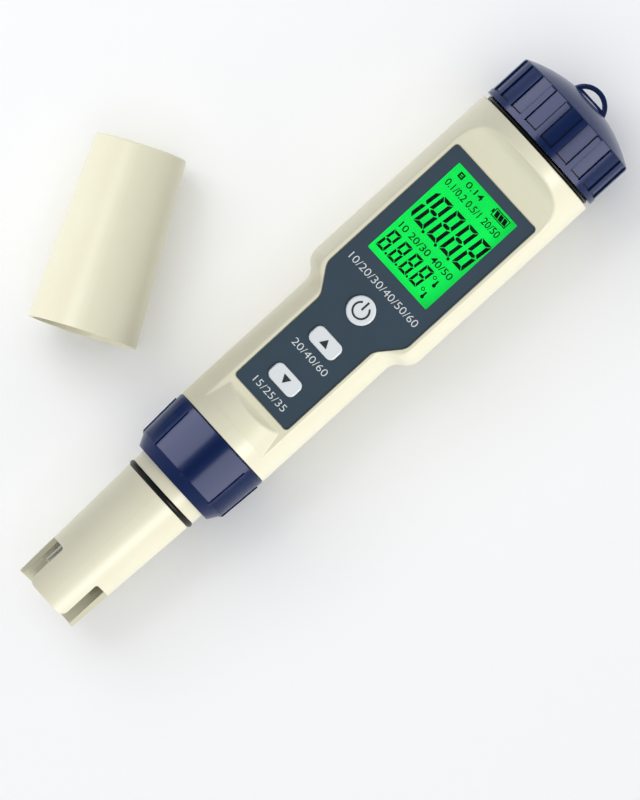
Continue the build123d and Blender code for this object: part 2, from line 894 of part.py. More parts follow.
# Chassis: two rails under the board, cradle ribs that stand on the bore, and two bulkheads
chassis_start = bore_step + seat_gap
chassis_end = tray_start
leaf_row_height = board_height + leaf_thickness / 2
rail_low = board_low - rail_height
cradles = [(shoulder_start - lead, tube_bore) for lead in tube_cradle_leads]
cradles += [(head_start + lag, neck_bore) for lag in head_cradle_lags]
with BuildPart() as inner_chassis:
    with BuildSketch(level(board_low)):
        with Locations(((chassis_start + chassis_end) / 2, 0)):
            with GridLocations(1, 2 * rail_across, 1, 2):
                Rectangle(chassis_end - chassis_start, rail_width)
        with Locations(*screw_places):
            Circle(screw_radius + boss_wall)
    extrude(amount=-rail_height)
    for station, reach in cradles:
        with BuildSketch(crosswise(station)):
            Circle(reach - running_gap)
            Circle(rail_across - rail_width / 2, mode=Mode.SUBTRACT)
            with Locations((0, rail_low + cradle_lift)):
                Rectangle(
                    4 * reach, 4 * reach, align=(Align.CENTER, Align.MIN), mode=Mode.SUBTRACT
                )
        extrude(amount=rib_thickness)
    for station, reach in (
        (chassis_start, tube_bore),
        (chassis_end - bulkhead_thickness, neck_bore),
    ):
        with BuildSketch(crosswise(station)):
            Circle(reach - running_gap)
            with Locations((0, ceiling_height - running_gap)):
                Rectangle(
                    4 * reach, 4 * reach, align=(Align.CENTER, Align.MIN), mode=Mode.SUBTRACT
                )
        extrude(amount=bulkhead_thickness)
    # Window for the socket, holes for the screws, and slots for the leaf contacts
    with BuildSketch(crosswise(chassis_start)):
        with Locations((0, pin_row_height)):
            Rectangle(socket_width + 2 * seat_gap, socket_height + 2 * seat_gap)
    extrude(amount=bulkhead_thickness, mode=Mode.SUBTRACT)
    with BuildSketch(level(board_low)):
        with Locations(*screw_places):
            Circle(screw_radius + press_gap)
    extrude(amount=-screw_length + board_thickness - running_gap, mode=Mode.SUBTRACT)
    with BuildSketch(crosswise(chassis_end)):
        with Locations((0, leaf_row_height)):
            with GridLocations(cell_spacing, 1, 2, 1):
                Rectangle(leaf_width + 2 * leaf_slot_gap, leaf_thickness + 2 * leaf_slot_gap)
    extrude(amount=-bulkhead_thickness, mode=Mode.SUBTRACT)
save(inner_chassis, "inner_chassis")

# Battery tray with two wells, its cells, and the leaf contacts under them
with BuildPart() as battery_tray:
    with BuildSketch(crosswise(tray_start)):
        Circle(tray_radius)
    extrude(amount=tray_end - tray_start)
    with BuildSketch(crosswise(tray_end)):
        with GridLocations(cell_spacing, 1, 2, 1):
            Circle(cell_radius + cell_room)
    extrude(amount=tray_start + tray_floor - tray_end, mode=Mode.SUBTRACT)
    # Finger notches beside the wells
    with BuildSketch(crosswise(tray_end)):
        with GridLocations(1, 2 * neck_bore, 1, 2):
            Circle(finger_radius)
    extrude(amount=-finger_depth, mode=Mode.SUBTRACT)
    with BuildSketch(crosswise(tray_start)):
        with Locations((0, leaf_row_height)):
            with GridLocations(cell_spacing, 1, 2, 1):
                Rectangle(leaf_width + 2 * leaf_slot_gap, leaf_thickness + 2 * leaf_slot_gap)
    extrude(amount=tray_floor, mode=Mode.SUBTRACT)
save(battery_tray, "battery_tray")

for count in range(2 * cells_per_stack):
    side = -1 if count < cells_per_stack else 1
    cell_start = cell_low + (count % cells_per_stack) * cell_height
    with BuildPart() as cell:
        with BuildSketch(crosswise(cell_start)):
            with Locations((side * stack_across, 0)):
                Circle(cell_radius)
        extrude(amount=cell_height)
        fillet(cell.faces().sort_by(Axis.X)[-1].edges(), radius=cell_edge)
        # Button of the negative side, set off by a shallow ring
        with BuildSketch(crosswise(cell_start)):
            with Locations((side * stack_across, 0)):
                Circle(cell_radius)
                Circle(cell_radius - cell_rim, mode=Mode.SUBTRACT)
        extrude(amount=cell_rim_step, mode=Mode.SUBTRACT)
    save(cell, f"button_cell_{count + 1}")

for label_side, side in (("left", -1), ("right", 1)):
    with BuildPart() as leaf:
        with BuildSketch(lengthwise(across=side * stack_across)):
            with BuildLine() as strip_line:
                base = tray_start + tray_floor + leaf_thickness / 2
                FilletPolyline(
                    (board_end - leaf_overlap, leaf_row_height),
                    (base, leaf_row_height),
                    (base, leaf_foot),
                    (cell_low - leaf_thickness / 2 - glue_gap, leaf_crest),
                    (base + leaf_tip_lift, leaf_tip),
                    radius=leaf_bend,
                )
            trace(line_width=leaf_thickness)
        extrude(amount=leaf_width / 2, both=True)
    save(leaf, f"leaf_contact_{label_side}")

# Battery cap: domed screw cap with recessed grip pads, a flange and a lanyard loop
cap_roof = neck_end + seat_gap + disc_thickness + pad_thickness
pad_start = cap_start + cap_flange_length
loop_station = dome_top - loop_sink
loop_foot_top = dome_top - loop_foot_sink
loop_root = sqrt(loop_radius**2 - (loop_foot_top - loop_station) ** 2)
with BuildPart() as cap_loop:
    with BuildSketch(level(-loop_thickness / 2)) as loop_outline:
        with Locations((loop_station, 0)):
            Circle(loop_radius)
            Rectangle(
                2 * loop_radius,
                2 * loop_radius,
                align=(Align.MAX, Align.CENTER),
                mode=Mode.SUBTRACT,
            )
            Rectangle(
                loop_foot_top - loop_station, 2 * loop_foot, align=(Align.MIN, Align.CENTER)
            )
        # Roots that flare out where the loop grows from the dome
        for side in (-loop_root, loop_root):
            corner = loop_outline.vertices().sort_by_distance((loop_foot_top, side))[0]
            fillet(corner, radius=loop_flare)
        with BuildSketch(mode=Mode.PRIVATE) as loop_hole:
            with Locations((loop_station, 0)):
                Circle(loop_radius - loop_width)
            with Locations((dome_top + loop_sill, 0)):
                Rectangle(
                    3 * loop_radius,
                    3 * loop_radius,
                    align=(Align.MAX, Align.CENTER),
                    mode=Mode.SUBTRACT,
                )
        add(loop_hole.sketch, mode=Mode.SUBTRACT)
    extrude(amount=loop_thickness)
    sides = cap_loop.faces().filter_by(Axis.Z)
    fillet(sides.edges(), radius=loop_edge)

with BuildPart() as battery_cap:
    with BuildSketch(lengthwise()) as cap_outline:
        with BuildLine():
            rim = Polyline(
                (cap_start, 0),
                (cap_start, cap_flange_radius),
                (pad_start, cap_flange_radius),
                (pad_start, cap_radius),
                (cap_top, cap_radius),
            )
            dome = TangentArc((dome_top, 0), rim @ 1, tangent=(0, 1))
            Line(dome @ 0, rim @ 0)
        make_face()
        fillet(cap_outline.vertices().sort_by_distance((cap_top, cap_radius))[0], radius=cap_edge)
    revolve(axis=long_axis)
    # Recessed pads with a straight rib between each two
    with BuildSketch(crosswise(pad_start)):
        Circle(cap_radius + over)
        Circle(cap_radius - cap_pad_depth, mode=Mode.SUBTRACT)
        with PolarLocations(cap_radius, cap_pads, start_angle=90 + 180 / cap_pads):
            Rectangle(3 * over, cap_rib_width, mode=Mode.SUBTRACT)
    extrude(amount=cap_top - pad_start, mode=Mode.SUBTRACT)
    add(cap_loop)
    # Hollow with a cored recess under the dome
    with BuildSketch(lengthwise()):
        with BuildLine():
            Polyline(
                (cap_start - over, 0),
                (cap_start - over, cap_bore),
                (cap_roof, cap_bore),
                (cap_roof, cap_core_radius),
                (cap_roof + cap_core_depth, cap_core_radius - cap_core_draft),
                (cap_roof + cap_core_depth, 0),
                close=True,
            )
        make_face()
    revolve(axis=long_axis, mode=Mode.SUBTRACT)
save(battery_cap, "battery_cap")

with BuildPart() as contact_disc:
    with BuildSketch(crosswise(neck_end + seat_gap / 2)):
        Circle(disc_radius)
        Circle(disc_hole_radius, mode=Mode.SUBTRACT)
    extrude(amount=disc_thickness)
save(contact_disc, "contact_disc")

with BuildPart() as pressure_pad:
    with BuildSketch(crosswise(neck_end + seat_gap / 2 + disc_thickness)):
        Circle(disc_radius)
    extrude(amount=cap_roof - neck_end - seat_gap / 2 - disc_thickness)
save(pressure_pad, "pressure_pad")


def make_ring(label, station, radius, section):
    """Rubber ring of round section."""
    with BuildPart() as ring:
        with BuildSketch(lengthwise()):
            with Locations((station, radius)):
                Circle(section / 2)
        revolve(axis=long_axis)
    save(ring, label)


cap_ring_section = cap_gap - 2 * glue_gap
make_ring(
    "cap_seal_ring",
    head_end + cap_gap / 2,
    neck_radius + glue_gap + cap_ring_section / 2,
    cap_ring_section,
)

# Collar: navy screw ring with a chamfered nose, a lip for the probe flange and thin ribs
rib_low = sleeve_shown + collar_rib_start
rib_high = sleeve_shown + collar_rib_end


def collar_outer(station):
    """Radius of the collar above its chamfer."""
    chamfer_end = sleeve_shown + collar_chamfer
    slope = (collar_top_radius - collar_low_radius) / (collar_end - chamfer_end)
    if station < chamfer_end:
        slope = (collar_low_radius - collar_nose_radius) / collar_chamfer
    return collar_low_radius + slope * (station - chamfer_end)


with BuildPart() as collar:
    with BuildSketch(lengthwise()) as collar_outline:
        with BuildLine():
            Polyline(
                (sleeve_shown, sleeve_radius + running_gap),
                (sleeve_shown, collar_nose_radius),
                (sleeve_shown + collar_chamfer, collar_low_radius),
                (collar_end, collar_top_radius),
                (collar_end, collar_bore),
                (sleeve_shown + collar_lip, collar_bore),
                (sleeve_shown + collar_lip, sleeve_radius + running_gap),
                close=True,
            )
        make_face()
        corner = collar_outline.vertices().sort_by_distance((collar_end, collar_top_radius))[0]
        fillet(corner, radius=collar_edge)
    revolve(axis=long_axis)
    turns = [count * 360 / collar_ribs for count in range(collar_ribs)]
    with BuildSketch(*[lengthwise(turn) for turn in turns]):
        with BuildLine():
            Polyline(
                (rib_low, collar_outer(rib_low) - collar_rib_root),
                (rib_low, collar_outer(rib_low) + collar_rib_foot),
                (sleeve_shown + collar_chamfer, collar_low_radius + collar_rib_height),
                (rib_high, collar_outer(rib_high) + collar_rib_height),
                (rib_high, collar_outer(rib_high) - collar_rib_root),
                close=True,
            )
        make_face()
    extrude(amount=collar_rib_width / 2, both=True)
save(collar, "collar")

# Probe: sleeve with a guard of one tongue and two slots round the glass bulb
groove_radius = sleeve_outer(ring_station) + ring_proud - ring_section
with BuildPart() as probe_sleeve:
    with BuildSketch(lengthwise()):
        with BuildLine():
            Polyline(
                (0, sleeve_bore),
                (0, tip_radius),
                (sleeve_shown, sleeve_radius),
                (flange_start, sleeve_radius),
                (flange_start, sleeve_bore),
                close=True,
            )
        make_face()
        with Locations((ring_station, groove_radius)):
            Rectangle(
                ring_section + seat_gap,
                2 * ring_section,
                align=(Align.CENTER, Align.MIN),
                mode=Mode.SUBTRACT,
            )
    revolve(axis=long_axis)
    # Slots beside the tongue: the rear half stays down to the level of the axis
    with BuildSketch(level(0)) as slots:
        with Locations((slot_length, 0)):
            Rectangle(slot_length + over, 4 * tip_radius, align=(Align.MAX, Align.CENTER))
            Rectangle(
                slot_length, tongue_width, align=(Align.MAX, Align.CENTER), mode=Mode.SUBTRACT
            )
        inner = slots.vertices().filter_by_position(Axis.Y, -tongue_width / 2, tongue_width / 2)
        fillet(inner.group_by(Axis.X)[0], radius=tongue_corner)
        inner = slots.vertices().filter_by_position(Axis.Y, -tongue_width / 2, tongue_width / 2)
        fillet(inner.group_by(Axis.X)[-1], radius=slot_corner)
    extrude(amount=2 * tip_radius, mode=Mode.SUBTRACT)
save(probe_sleeve, "probe_sleeve")

make_ring(
    "probe_seal_ring",
    ring_station,
    groove_radius + glue_gap + ring_section / 2,
    ring_section,
)

with BuildPart() as probe_potting:
    with BuildSketch(crosswise(slot_length)):
        Circle(sleeve_bore - press_gap)
        Circle(stem_radius + press_gap, mode=Mode.SUBTRACT)
        with Locations(*pin_places):
            Circle(pin_radius + press_gap, mode=Mode.SUBTRACT)
        with Locations(sensor_place):
            Circle(sensor_radius + press_gap, mode=Mode.SUBTRACT)
        with Locations(junction_place):
            Circle(junction_radius + press_gap, mode=Mode.SUBTRACT)
    extrude(amount=potting_length)
save(probe_potting, "probe_potting")

# Glass electrode: thin bulb on a stem, both hollow, closed where the wire leaves
plug_face = flange_start - plug_depth
with BuildPart() as glass_electrode:
    with BuildSketch(lengthwise()):
        for wall, end in ((0, plug_face), (glass_wall, plug_face - glass_end_wall)):
            mode = Mode.ADD if wall == 0 else Mode.SUBTRACT
            with Locations((bulb_station, 0)):
                Circle(bulb_radius - wall, mode=mode)
                Rectangle(
                    end - bulb_station,
                    2 * (stem_radius - wall),
                    align=(Align.MIN, Align.CENTER),
                    mode=mode,
                )
        Rectangle(
            3 * sleeve_shown, 2 * tip_radius, align=(Align.CENTER, Align.MAX), mode=Mode.SUBTRACT
        )
        with Locations((plug_face, 0)):
            Rectangle(4 * glass_end_wall, 2 * (wire_radius + press_gap), mode=Mode.SUBTRACT)
    revolve(axis=long_axis)
save(glass_electrode, "glass_electrode")


def make_rods(label, places, radius, start, end, tip=0.0):
    """Group of straight rods along the axis, with rounded lower tips."""
    with BuildPart() as rods:
        with BuildSketch(crosswise(start)):
            with Locations(*places):
                Circle(radius)
        extrude(amount=end - start)
        if tip:
            fillet(rods.edges().group_by(Axis.X)[0], radius=tip)
    save(rods, label)


make_rods("electrode_wire", [(0, 0)], wire_radius, bulb_station + wire_start, plug_face)
make_rods("conductivity_pins", pin_places, pin_radius, pin_tip_station, plug_face, pin_tip)
make_rods(
    "temperature_sensor",
    [sensor_place],
    sensor_radius,
    sensor_tip_station,
    plug_face,
    sensor_tip,
)
make_rods(
    "reference_junction",
    [junction_place],
    junction_radius,
    slot_length - junction_proud,
    slot_length + potting_length,
)

# Plug at the upper end of the probe, with the flange that the collar pulls up
with BuildPart() as probe_plug:
    with BuildSketch(lengthwise()):
        with BuildLine():
            Polyline(
                (plug_face, 0),
                (plug_face, sleeve_bore - press_gap),
                (flange_start, sleeve_bore - press_gap),
                (flange_start, flange_radius),
                (flange_end, flange_radius),
                (flange_end, plug_radius),
                (plug_end, plug_radius),
                (plug_end, 0),
                close=True,
            )
        make_face()
    revolve(axis=long_axis)
    with BuildSketch(crosswise(spigot_start)):
        with Locations((0, -plug_radius)):
            Rectangle(key_rib_width, 2 * key_rib_height)
    extrude(amount=plug_end - spigot_start)
    with BuildSketch(crosswise(plug_end)):
        with Locations((0, pin_row_height)):
            with GridLocations(pin_pitch, 1, pin_count, 1):
                Circle(contact_radius + press_gap)
    extrude(amount=-plug_pin_reach, mode=Mode.SUBTRACT)
save(probe_plug, "probe_plug")

pin_row = [
    ((count - (pin_count - 1) / 2) * pin_pitch, pin_row_height) for count in range(pin_count)
]
make_rods(
    "plug_pins",
    pin_row,
    contact_radius,
    plug_end - plug_pin_reach,
    plug_end + plug_pin_reach,
    plug_pin_tip,
)

with BuildPart() as probe_gasket:
    with BuildSketch(crosswise(flange_end)):
        Circle(flange_radius)
        Circle(spigot_bore + running_gap, mode=Mode.SUBTRACT)
    extrude(amount=gasket_thickness)
save(probe_gasket, "probe_gasket")

# Probe cover, lying on its side: its axis dips by half the angle of its cone
dip = atan((cover_mouth_radius - cover_end_radius) / cover_length)
heading = radians(cover_turn)
cover_plane = Plane(
    origin=(
        cover_mouth_station - rest_station,
        cover_mouth_across,
        cover_mouth_radius * cos(dip),
    ),
    x_dir=(cos(dip) * cos(heading), cos(dip) * sin(heading), -sin(dip)),
    z_dir=(sin(heading), -cos(heading), 0),
)
cover_axis = Axis(cover_plane.origin, cover_plane.x_dir)
cover_seal_bore = sleeve_outer(ring_station) + ring_proud - ring_squeeze
cover_skirt_bore = collar_nose_radius + cover_skirt_gap
cover_end_bore = tip_radius + cover_tip_gap
sponge_radius = cover_end_bore - glue_gap
with BuildPart() as probe_cover:
    with BuildSketch(cover_plane) as cover_outline:
        with BuildLine():
            Polyline(
                (0, cover_skirt_bore),
                (0, cover_mouth_radius),
                (cover_length, cover_end_radius),
                (cover_length, 0),
                (cover_length - cover_end_wall, 0),
                (cover_length - cover_end_wall, cover_end_bore),
                (cover_seal_depth, cover_seal_bore),
                (cover_skirt_depth + cover_lead_in, cover_seal_bore),
                (cover_skirt_depth, cover_skirt_bore),
                close=True,
            )
        make_face()
        corner = cover_outline.vertices().sort_by_distance((cover_length, cover_end_radius))[0]
        fillet(corner, radius=cover_edge)
    revolve(axis=cover_axis)
save(probe_cover, "probe_cover")

with BuildPart() as storage_sponge:
    with BuildSketch(cover_plane):
        with Locations((cover_length - cover_end_wall - glue_gap, 0)):
            Rectangle(sponge_thickness, sponge_radius, align=(Align.MAX, Align.MIN))
    revolve(axis=cover_axis)
save(storage_sponge, "storage_sponge")
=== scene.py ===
import json
import math

import bmesh
import bpy
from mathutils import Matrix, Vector


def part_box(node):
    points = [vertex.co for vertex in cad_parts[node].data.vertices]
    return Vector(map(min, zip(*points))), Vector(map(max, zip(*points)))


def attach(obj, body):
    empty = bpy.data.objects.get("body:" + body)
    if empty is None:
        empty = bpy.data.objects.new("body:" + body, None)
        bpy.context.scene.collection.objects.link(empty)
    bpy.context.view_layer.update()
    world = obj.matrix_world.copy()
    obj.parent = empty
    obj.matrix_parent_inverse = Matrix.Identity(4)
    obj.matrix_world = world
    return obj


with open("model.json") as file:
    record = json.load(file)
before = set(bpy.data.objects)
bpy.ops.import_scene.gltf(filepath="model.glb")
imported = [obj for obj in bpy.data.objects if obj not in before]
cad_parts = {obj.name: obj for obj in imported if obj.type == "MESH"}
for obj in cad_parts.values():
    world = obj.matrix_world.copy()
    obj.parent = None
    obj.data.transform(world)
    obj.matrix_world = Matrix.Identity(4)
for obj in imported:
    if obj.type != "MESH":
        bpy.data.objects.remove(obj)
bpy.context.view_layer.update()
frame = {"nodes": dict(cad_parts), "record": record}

# Places on the tester, read from the frame. Metres. Stations run along the axis from the
# probe tip, and heights are counted from the axis.
MM = 0.001
TIP_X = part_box("probe_sleeve")[0].x
AXIS_Z = sum(corner.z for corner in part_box("battery_cap")) / 2
CAP_START = (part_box("battery_cap")[0].x - TIP_X) / MM
DISPLAY_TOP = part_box("display_polariser")[1].z
LABEL_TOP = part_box("label")[1].z
METER = "meter_body"

# Camera: straight down, turned so that the tester points up to the right
VIEW_SIZE = 0.200  # height of the picture at the level of the axis
VIEW_TURN = math.radians(-42.4)
VIEW_CENTRE = (TIP_X + 84.03 * MM, -9.56 * MM)
VIEW_DISTANCE = 3.0
VIEW_END = 20.0
SENSOR = 36.0

# Floor
FLOOR_HALF = 6.0
FLOOR_DROP = 0.00005  # below the tester, so that no two faces lie in one plane

# Sky strength, between two heights of the direction: 0 is the horizon, 1 is overhead
SKY_COLOUR = (0.96, 0.98, 1.0, 1)
SKY_LOW = 0.1
SKY_HIGH = 0.95
SKY_LOW_STRENGTH = 0.92
SKY_HIGH_STRENGTH = 0.36

# Lamp colours
WARM = (1.0, 0.99, 0.96)
COOL = (0.92, 0.9, 1.0)

# What all finishes share
NOISE_LOW = 0.35  # of the noise that mixes two colours
NOISE_HIGH = 0.65
DARKER = 0.86  # second colour, where a material names none
BUMP_DISTANCE = 0.0001

# Printed marks
INK = 0.00004  # thickness
CLEAR = 0.00001  # above the surface
LEAN = 0.10  # of the digits, to the right for each millimetre upwards
SEGMENT_GAP = 0.12  # at the ends of a segment, as a share of its stroke

# Digits of the display: left edges, lower edge and size, in millimetres
BIG_LEFTS = (-8.0, -3.3, 1.35, 6.05)
BIG_ONE_LEFT = -12.4
BIG_FOOT = 131.5
BIG_DIGIT = {"width": 3.5, "height": 9.75, "stroke": 1.0}
BIG_POINTS = (-4.1, 0.45, 5.1)
BIG_POINT_RADIUS = 0.42
SMALL_LEFTS = (-9.9, -5.85, -1.85, 2.1)
SMALL_FOOT = 120.5
SMALL_DIGIT = {"width": 2.7, "height": 6.1, "stroke": 0.7}
SMALL_POINTS = (-6.4, -2.6, 1.4)
SMALL_POINT_RADIUS = 0.32
POINT_DROP = 0.2  # from the lower edge of the big digits to the middle of their points
POINT_LIFT = 0.3  # the same for the small digits, upwards

# Rows of plain numbers: name, text, middle to the right and along, width and height
DISPLAY_ROWS = [
    ("display_row_upper", "0.1/0.2 0.5/1 20/50", -0.1, 144.35, 19.0, 2.0),
    ("display_row_lower", "10 20/30 40/50", 0.0, 128.55, 18.6, 1.9),
    ("display_row_top", "0.14", -2.8, 147.6, 5.6, 1.75),
]
DISPLAY_WEIGHT = 0.006
LABEL_ROWS = [
    ("label_row_display", "10/20/30/40/50/60", 0.0, 114.3, 24.2, 2.05),
    ("label_row_up", "20/40/60", 0.0, 89.4, 12.0, 1.95),
    ("label_row_down", "15/25/35", 0.0, 75.9, 11.0, 1.95),
]
LABEL_WEIGHT = -0.006

# Marks on the keys
POWER_RING = {"radius": 2.15, "width": 0.5, "start": 125, "end": 415}
POWER_BAR = (0.5, 2.6)
POWER_BAR_FOOT = 0.2
ARROW_HALF = 1.25
ARROW_FOOT = 1.0
ARROW_TIP = 1.1

# Grip pads of the battery cap, in millimetres and degrees
PAD_COUNT = 20
PAD_LEAD = 1.7  # from the start of the cap
PAD_LENGTH = 10.6
PAD_RADIUS = 18.48
PAD_HALF_TURN = 5.9
# Painted shade lines at the pad edges: width in degrees at the sides, length in millimetres at
# the lower ends
PAD_SHADE_LINE_TURN = 0.9
PAD_SHADE_LINE = 0.32

# Threads: pitch, steps in a turn, steps over which an end fades, and half of the profile
THREAD_PITCH = 3.0
THREAD_STEPS = 64
THREAD_FADE = 16
THREAD_LEAST = 0.05  # height of a faded end, as a share of the full height
THREAD_FOOT = 0.9
THREAD_CREST = 0.35
THREAD_ROOT = -0.1  # of the feet, so that they lie in the barrel


def make_camera():
    """Long lens far above the tester, which sees it almost without perspective."""
    data = bpy.data.cameras.new("camera")
    data.sensor_width = SENSOR
    data.lens = SENSOR * VIEW_DISTANCE / VIEW_SIZE
    data.clip_end = VIEW_END
    camera = bpy.data.objects.new("camera", data)
    camera.location = (*VIEW_CENTRE, AXIS_Z + VIEW_DISTANCE)
    camera.rotation_euler = (0, 0, VIEW_TURN)
    bpy.context.collection.objects.link(camera)
    bpy.context.scene.camera = camera


make_camera()


def on_screen(right, up):
    """Direction in the scene of a direction in the picture."""
    return Vector((
        right * math.cos(VIEW_TURN) - up * math.sin(VIEW_TURN),
        right * math.sin(VIEW_TURN) + up * math.cos(VIEW_TURN),
        0,
    ))


def soft_light(name, aside, height, size, power, colour=(1, 1, 1)):
    """Rectangular soft light at a sideways offset and a height, aimed at the tester."""
    data = bpy.data.lights.new(name, "AREA")
    data.shape = "RECTANGLE"
    data.size, data.size_y = size
    data.energy = power
    data.color = colour
    light = bpy.data.objects.new(name, data)
    target = Vector((*VIEW_CENTRE, AXIS_Z))
    light.location = target + aside + Vector((0, 0, height))
    light.rotation_euler = (target - light.location).to_track_quat("-Z", "Y").to_euler()
    bpy.context.collection.objects.link(light)
    return light


def light_only(light, pieces, state="INCLUDE"):
    """Limit a light to some pieces, or keep it off them."""
    receivers = bpy.data.collections.new(light.name + "_receivers")
    for piece in pieces:
        receivers.objects.link(piece)
    for member in receivers.collection_objects:
        member.light_linking.link_state = state
    light.light_linking.receiver_collection = receivers


def make_floor():
    """Wide pale floor that the tester lies on."""
    half = FLOOR_HALF
    mesh = bpy.data.meshes.new("floor")
    mesh.from_pydata(
        [(-half, -half, 0), (half, -half, 0), (half, half, 0), (-half, half, 0)],
        [],
        [(0, 1, 2, 3)],
    )
    floor = bpy.data.objects.new("floor", mesh)
    floor.location.z = -FLOOR_DROP
    bpy.context.collection.objects.link(floor)
    return floor


FLOOR = make_floor()


def make_lights():
    """Key light from the right of the picture, floor light from its upper left, and the sky.

    The key lights the tester from its right side, and a lamp of its own lights the cover from
    the left, where the photo shows its bright band. Both stay off the floor. The floor has a
    fill from above and a light that casts the soft shadow at the lower right. Two long panels
    beside the tester show in the gloss of the navy plastic.
    """
    cover = frame["nodes"]["probe_cover"]
    navy = [frame["nodes"]["battery_cap"], frame["nodes"]["collar"]]
    key = soft_light(
        "key_light", aside=on_screen(0.48, -0.55), height=0.70, size=(0.42, 0.42),
        power=5.3, colour=WARM,
    )
    light_only(key, [FLOOR, cover, *navy], "EXCLUDE")
    beside = soft_light(
        "cover_light", aside=on_screen(-0.45, 0.10), height=0.72, size=(0.34, 0.34),
        power=3.3, colour=WARM,
    )
    light_only(beside, [cover])
    above = soft_light(
        "floor_fill", aside=on_screen(0, 0), height=1.2, size=(1.6, 1.6), power=6.2
    )
    light_only(above, [FLOOR])
    under = soft_light(
        "floor_light", aside=on_screen(-0.55, 0.62), height=0.95, size=(0.8, 0.8), power=4.4
    )
    light_only(under, [FLOOR])
    for name, across, power in (("panel_left", 0.42, 14.0), ("panel_right", -0.52, 13.4)):
        panel = soft_light(
            name, aside=Vector((0, across, 0)), height=0.36, size=(0.8, 0.75),
            power=power, colour=COOL,
        )
        panel.visible_diffuse = False
        light_only(panel, navy)
    make_sky()


def make_sky():
    """World that is pale at the horizon and dimmer overhead."""
    world = bpy.data.worlds.new("studio")
    world.use_nodes = True
    tree = world.node_tree
    sky = tree.nodes["Background"]
    place = tree.nodes.new("ShaderNodeTexCoord")
    split = tree.nodes.new("ShaderNodeSeparateXYZ")
    fade = tree.nodes.new("ShaderNodeMapRange")
    fade.interpolation_type = "SMOOTHSTEP"
    fade.inputs["From Min"].default_value = SKY_LOW
    fade.inputs["From Max"].default_value = SKY_HIGH
    fade.inputs["To Min"].default_value = SKY_LOW_STRENGTH
    fade.inputs["To Max"].default_value = SKY_HIGH_STRENGTH
    tree.links.new(place.outputs["Generated"], split.inputs["Vector"])
    tree.links.new(split.outputs["Z"], fade.inputs["Value"])
    tree.links.new(fade.outputs["Result"], sky.inputs["Strength"])
    sky.inputs["Color"].default_value = SKY_COLOUR
    bpy.context.scene.world = world


make_lights()


def srgb(red, green, blue):
    """Linear colour of an sRGB colour given in 0 to 255."""
    def linear(value):
        value /= 255
        return value / 12.92 if value <= 0.04045 else ((value + 0.055) / 1.055) ** 2.4
    return (linear(red), linear(green), linear(blue), 1.0)


def node(tree, kind, **inputs):
    """New shader node with some of its inputs set."""
    made = tree.nodes.new(kind)
    for name, value in inputs.items():
        made.inputs[name.replace("_", " ")].default_value = value
    return made


def material(name, colour, rough=0.4, **settings):
    """Material whose colour, gloss and surface vary finely, as moulded parts do.

    Settings: other (second colour), blotch (its scale), share (its strength), grain and
    bump (scale and height of the surface texture), and any sockets of the shader.
    """
    other = settings.pop("other", None)
    blotch = settings.pop("blotch", 90.0)
    share = settings.pop("share", 0.35)
    grain = settings.pop("grain", 4500.0)
    bump = settings.pop("bump", 0.04)
    rough_spread = settings.pop("rough_spread", 0.06)
    made = bpy.data.materials.new(name)
    made.use_nodes = True
    tree = made.node_tree
    link = tree.links.new
    shader = tree.nodes["Principled BSDF"]
    for socket, value in settings.items():
        shader.inputs[socket.replace("_", " ")].default_value = value
    place = tree.nodes.new("ShaderNodeTexCoord")
    cloud = node(tree, "ShaderNodeTexNoise", Scale=blotch, Detail=3.0, Roughness=0.55)
    link(place.outputs["Object"], cloud.inputs["Vector"])
    spread = node(tree, "ShaderNodeMapRange", To_Min=0.0, To_Max=share)
    spread.inputs["From Min"].default_value = NOISE_LOW
    spread.inputs["From Max"].default_value = NOISE_HIGH
    link(cloud.outputs["Fac"], spread.inputs["Value"])
    mix = tree.nodes.new("ShaderNodeMix")
    mix.data_type = "RGBA"
    mix.inputs["A"].default_value = colour
    mix.inputs["B"].default_value = other or (*(value * DARKER for value in colour[:3]), 1)
    link(spread.outputs["Result"], mix.inputs["Factor"])
    link(mix.outputs["Result"], shader.inputs["Base Color"])
    fine = node(tree, "ShaderNodeTexNoise", Scale=grain, Detail=2.0)
    link(place.outputs["Object"], fine.inputs["Vector"])
    gloss = node(
        tree, "ShaderNodeMapRange", To_Min=rough - rough_spread, To_Max=rough + rough_spread
    )
    link(fine.outputs["Fac"], gloss.inputs["Value"])
    link(gloss.outputs["Result"], shader.inputs["Roughness"])
    lift = node(tree, "ShaderNodeBump", Strength=bump, Distance=BUMP_DISTANCE)
    link(fine.outputs["Fac"], lift.inputs["Height"])
    link(lift.outputs["Normal"], shader.inputs["Normal"])
    return made


